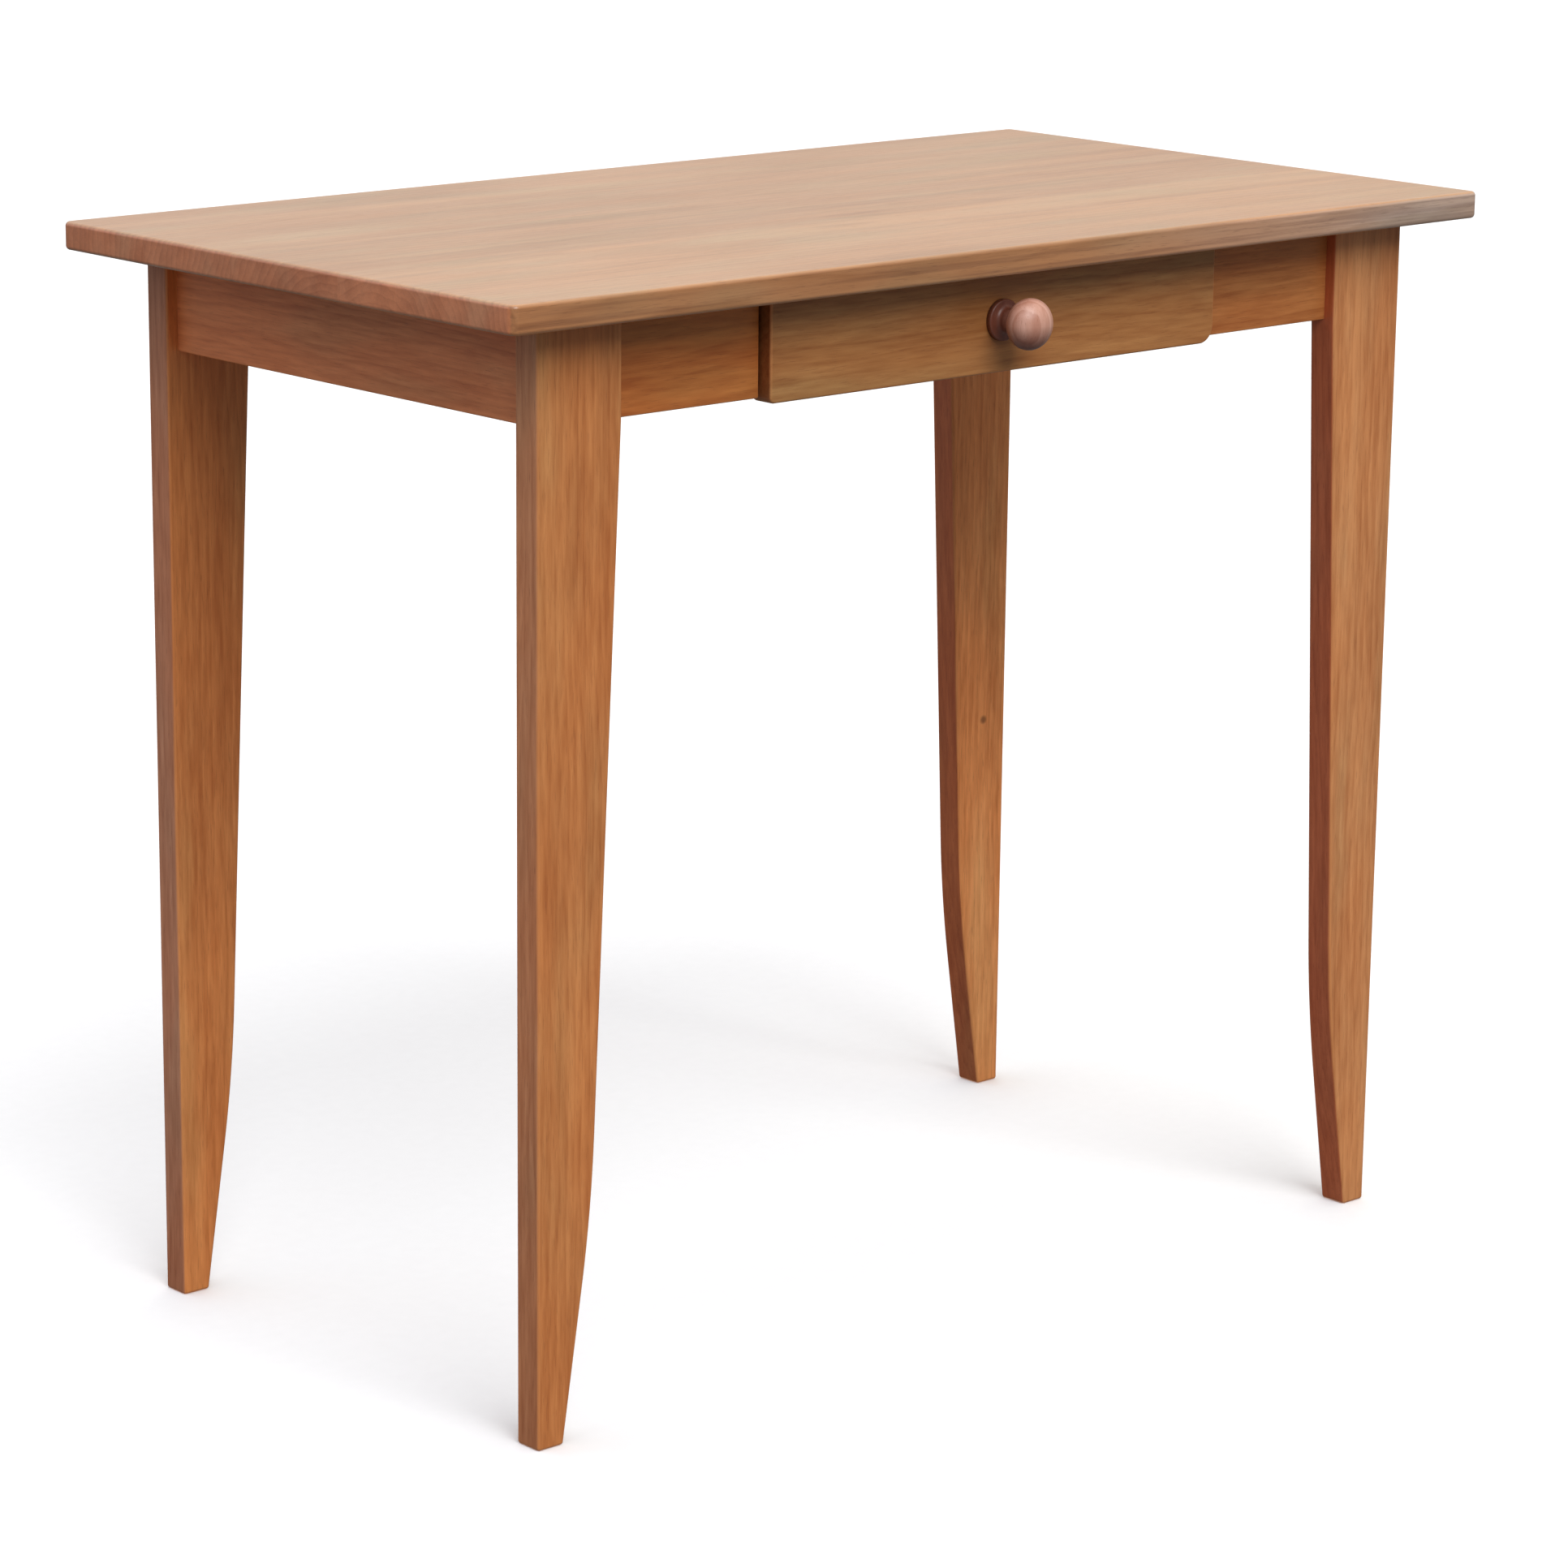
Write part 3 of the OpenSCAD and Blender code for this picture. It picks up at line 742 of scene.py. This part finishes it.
def lathe(profile, centre):
    """Turns a profile of (radius, distance) round the -Y axis through centre."""
    bm = bmesh.new()
    turns = [2 * math.pi * k / LATHE_STEPS for k in range(LATHE_STEPS)]
    rings = []
    for radius, out in profile:
        angles = turns if radius else [0.0]
        offsets = [Vector((radius * math.cos(t), -out, radius * math.sin(t))) for t in angles]
        rings.append([bm.verts.new(centre + offset) for offset in offsets])
    for inner, outer in zip(rings, rings[1:]):
        for k in range(LATHE_STEPS):
            n = (k + 1) % LATHE_STEPS
            pairs = ((inner, k), (inner, n), (outer, n), (outer, k))
            corners = [ring[index % len(ring)] for ring, index in pairs]
            bm.faces.new(list(dict.fromkeys(corners)))
    return bm


# ---- Pieces ----
def make_top():
    """Panel with round corners in plan."""
    low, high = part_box("table_top")
    left, right = low.x + TOP_CORNER, high.x - TOP_CORNER
    front, back = low.y + TOP_CORNER, high.y - TOP_CORNER
    outline = []
    for quarter, corner in enumerate(((right, back), (left, back), (left, front), (right, front))):
        outline += arc(corner, TOP_CORNER, 90 * quarter, 90 * quarter + 90, CORNER_STEPS)
    bm = soften(extrude(outline, flat_point, low.z, high.z), TOP_ROUND)
    half_depth = (high.y - low.y) / 2
    material = wood("table_top", panel=(-half_depth, half_depth))
    return finish_piece("table_top_panel", bm, material, "table_top", TOP_ROUND)


def leg_outline(low, high, side):
    """Outline in X and Z: upright outer edge, inner edge with two tapers and a soft bend."""
    outer, inner = (high.x, low.x) if side > 0 else (low.x, high.x)
    taper_top = Vector((inner, high.z - LEG_TAPER_BELOW))
    bend = Vector((outer - side * LEG_BEND_WIDTH, LEG_BEND_UP))
    foot = Vector((outer - side * LEG_FOOT_WIDTH, 0.0))
    start = bend + (taper_top - bend).normalized() * LEG_BLEND
    end = bend + (foot - bend).normalized() * LEG_BLEND
    soft = []
    for k in range(LEG_BEND_STEPS + 1):
        t = k / LEG_BEND_STEPS
        soft.append((1 - t) ** 2 * start + 2 * t * (1 - t) * bend + t * t * end)
    outer_foot, outer_top = Vector((outer, 0.0)), Vector((outer, high.z))
    points = [outer_foot, outer_top, Vector((inner, high.z)), taper_top, *soft, foot]
    return [(p.x, p.y) for p in points]


def make_leg(node, side):
    """Tapered plank leg. side: -1 for the left legs, 1 for the right ones."""
    low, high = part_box(node)
    bm = soften(extrude(leg_outline(low, high, side), upright_point, low.y, high.y), LEG_ROUND)
    # Painted light and shade on the narrow faces, by the way they look
    outer_light, inner_shade = LEG_SIDE_PAINTED_LIGHT[node]
    material = wood(node, sides=((side, outer_light), (-side, inner_shade)))
    return finish_piece(node + "_plank", bm, material, node, LEG_ROUND)


def make_drawer_front():
    """Board with its two lower corners rounded."""
    low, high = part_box("drawer_front")
    left, right = FRONT_CORNER_LEFT, FRONT_CORNER_RIGHT
    outline = [(high.x, high.z), (low.x, high.z)]
    outline += arc((low.x + left, low.z + left), left, 180, 270, CORNER_STEPS)
    outline += arc((high.x - right, low.z + right), right, 270, 360, CORNER_STEPS)
    bm = soften(extrude(outline, upright_point, low.y, high.y), FRONT_ROUND)
    return finish_piece("drawer_front_board", bm, wood("drawer_front"), "drawer_front", FRONT_ROUND)


def knob_profile(length, head_radius):
    """Half outline from the drawer's face out: base with a round lip, cove to the neck, ball head."""
    points = [(0, 0), (KNOB_BASE_RADIUS, 0)]
    points += arc((KNOB_BASE_RADIUS - KNOB_LIP, KNOB_BASE_THICK - KNOB_LIP), KNOB_LIP, 0, 90, ARC_STEPS)
    for x, y in arc((0, 0), 1, 0, 90, ARC_STEPS + 1):
        points.append((KNOB_NECK + KNOB_COVE_OUT * (1 - y), KNOB_BASE_THICK + KNOB_COVE_UP * (1 - x)))
    start = -math.acos(KNOB_NECK / head_radius)
    for k in range(KNOB_HEAD_STEPS):
        a = start + (math.pi / 2 - start) * k / KNOB_HEAD_STEPS
        out = length - KNOB_HEAD_HALF + KNOB_HEAD_HALF * math.sin(a)
        points.append((head_radius * math.cos(a), out))
    points.append((0, length))
    return points


def make_knob():
    """Turned knob with painted shade at its base and neck and on its underside."""
    low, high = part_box("drawer_knob")
    middle = (low + high) / 2
    foot = Vector((middle.x, high.y, middle.z))
    bm = lathe(knob_profile(high.y - low.y, (high.x - low.x) / 2), foot)
    piece = finish_piece("knob_turned", bm, wood("drawer_knob", "Z"), "drawer_knob", 0)
    # Painted shade: full at the base and neck, fading outwards, and growing towards the underside
    deep = []
    for vertex in piece.data.vertices:
        out = (foot.y - vertex.co.y - KNOB_SHADE_DEEP) / KNOB_SHADE_FADE
        under = (foot.z - vertex.co.z) / (foot.z - low.z)
        share = max(1.0 - max(out, 0.0), KNOB_SHADE_UNDER * max(under, 0.0))
        deep.append(min(share, 1.0))
    layer = piece.data.attributes.new("painted_shade", "FLOAT", "POINT")
    layer.data.foreach_set("value", deep)
    return piece


def dress_kept(kept, material):
    """Gives a CAD node that stays its material."""
    kept.data.materials.clear()
    kept.data.materials.append(material)


# ---- Stage ----
def make_floor():
    """A round sheet of pale paper."""
    bm = bmesh.new()
    bmesh.ops.create_circle(bm, cap_ends=True, radius=FLOOR_RADIUS, segments=FLOOR_STEPS)
    mesh = bpy.data.meshes.new("floor")
    bm.to_mesh(mesh)
    bm.free()
    tree = Tree(bpy.data.materials.new("floor_paper"))
    place = tree.add("TexCoord").outputs["Object"]
    flecks = tree.noise(place, *FLOOR_FLECKS)
    pale = tree.mix(flecks, linear(FLOOR_DARKER), linear(FLOOR_PALER))
    paper = tree.add("BsdfPrincipled", {"Base Color": pale, "Roughness": FLOOR_ROUGH})
    # The paper throws only part of its light back up at the desk
    muted = tree.add("BsdfDiffuse", {"Color": linear(FLOOR_BOUNCE)})
    path = tree.add("LightPath")
    seen = path.outputs["Is Camera Ray"]
    lit = tree.add("MixShader", {0: seen, 1: muted.outputs[0], 2: paper.outputs[0]})
    # It is gone from below, and lets light reach the soles that stand on it
    gone = tree.add("BsdfTransparent")
    behind = tree.add("NewGeometry").outputs["Backfacing"]
    touching = tree.math("LESS_THAN", path.outputs["Ray Length"], FLOOR_TOUCH)
    hidden = tree.math("MAXIMUM", behind, touching)
    shown = tree.add("MixShader", {0: hidden, 1: lit.outputs[0], 2: gone.outputs[0]})
    mesh.materials.append(tree.finish(shown))
    floor = bpy.data.objects.new("floor", mesh)
    floor.location.z = -FLOOR_GAP
    bpy.context.scene.collection.objects.link(floor)


def make_sky():
    """A smooth pale sky, brighter overhead and behind the desk."""
    world = bpy.data.worlds.new("studio")
    tree = Tree(world)
    direction = tree.add("TexCoord").outputs["Generated"]
    growth = {0: direction, 1: (0.0, SKY_BACK, SKY_OVERHEAD)}
    slope = tree.add("VectorMath", growth, operation="DOT_PRODUCT").outputs["Value"]
    above = tree.math("MAXIMUM", tree.math("ADD", slope, SKY_EVEN), SKY_LEAST)
    parts = tree.split(direction)
    strength = tree.between(parts[2], -SKY_HORIZON, 0.0, SKY_BELOW, above)
    to_right = tree.between(parts[0], -1.0, 1.0)
    tint = tree.mix(to_right, SKY_COOL, SKY_WARM)
    light = tree.add("Background", {"Color": tint, "Strength": strength})
    # The camera itself sees plain white paper behind the desk
    paper = tree.add("Background", {"Color": WHITE, "Strength": 1.0})
    seen = tree.add("LightPath").outputs["Is Camera Ray"]
    shown = tree.add("MixShader", {0: seen, 1: light.outputs[0], 2: paper.outputs[0]})
    tree.add("OutputWorld", {0: shown.outputs[0]})
    bpy.context.scene.world = world


def make_sun():
    """Soft light from the front, a little to the left."""
    data = bpy.data.lights.new("soft_sun", "SUN")
    data.energy = SUN_STRENGTH
    data.angle = math.radians(SUN_SIZE)
    sun = bpy.data.objects.new("soft_sun", data)
    turn, height = math.radians(SUN_TURN), math.radians(SUN_HEIGHT)
    level = math.cos(height)
    way = Vector((math.sin(turn) * level, -math.cos(turn) * level, math.sin(height)))
    sun.rotation_euler = way.to_track_quat("Z", "Y").to_euler()
    bpy.context.scene.collection.objects.link(sun)


def make_camera():
    """Camera at the front left, without shift or depth of field."""
    data = bpy.data.cameras.new("camera")
    data.sensor_width = CAMERA_SENSOR
    data.lens = CAMERA_LENS
    data.clip_end = CAMERA_REACH
    camera = bpy.data.objects.new("camera", data)
    yaw, pitch, roll = (math.radians(a) for a in (CAMERA_YAW, CAMERA_PITCH, CAMERA_ROLL))
    turn = Euler((math.pi / 2 - pitch, 0, -yaw)).to_matrix() @ Matrix.Rotation(roll, 3, "Z")
    camera.rotation_euler = turn.to_euler()
    camera.location = CAMERA_PLACE
    bpy.context.scene.collection.objects.link(camera)
    bpy.context.scene.camera = camera


make_top()
between_legs = between(0, "leg_front_left", "leg_front_right")
behind_front = between(1, "drawer_front", "back_rail", 0.0)
for side, word in ((-1, "left"), (1, "right")):
    make_leg("leg_front_" + word, side)
    make_leg("leg_back_" + word, side)
    make_guide("drawer_guide_" + word)
    board("side_rail_" + word, RAIL_ROUND)
    board("front_apron_" + word, RAIL_ROUND, between_legs)
    board("drawer_side_" + word, DRAWER_ROUND, behind_front)
board("back_rail", RAIL_ROUND, between_legs)
board("drawer_back", DRAWER_ROUND, between(0, "drawer_side_left", "drawer_side_right"))
board("drawer_bottom", STRIP_ROUND)
make_drawer_front()
make_knob()

# The other CAD nodes stay as they are. The grain of two runs another way than their longest side
KEPT_ALONG = {"corner_blocks": "Z", "top_buttons": "X"}
plain_steel = steel()
for node in NODES:
    kept = frame["nodes"][node]
    if kept.hide_render:
        continue
    is_steel = SLOTS[node] == "screw_steel"
    dress_kept(kept, plain_steel if is_steel else wood(node, KEPT_ALONG.get(node)))

make_floor()
make_sky()
make_sun()
make_camera()
bpy.context.scene.view_settings.view_transform = "Standard"
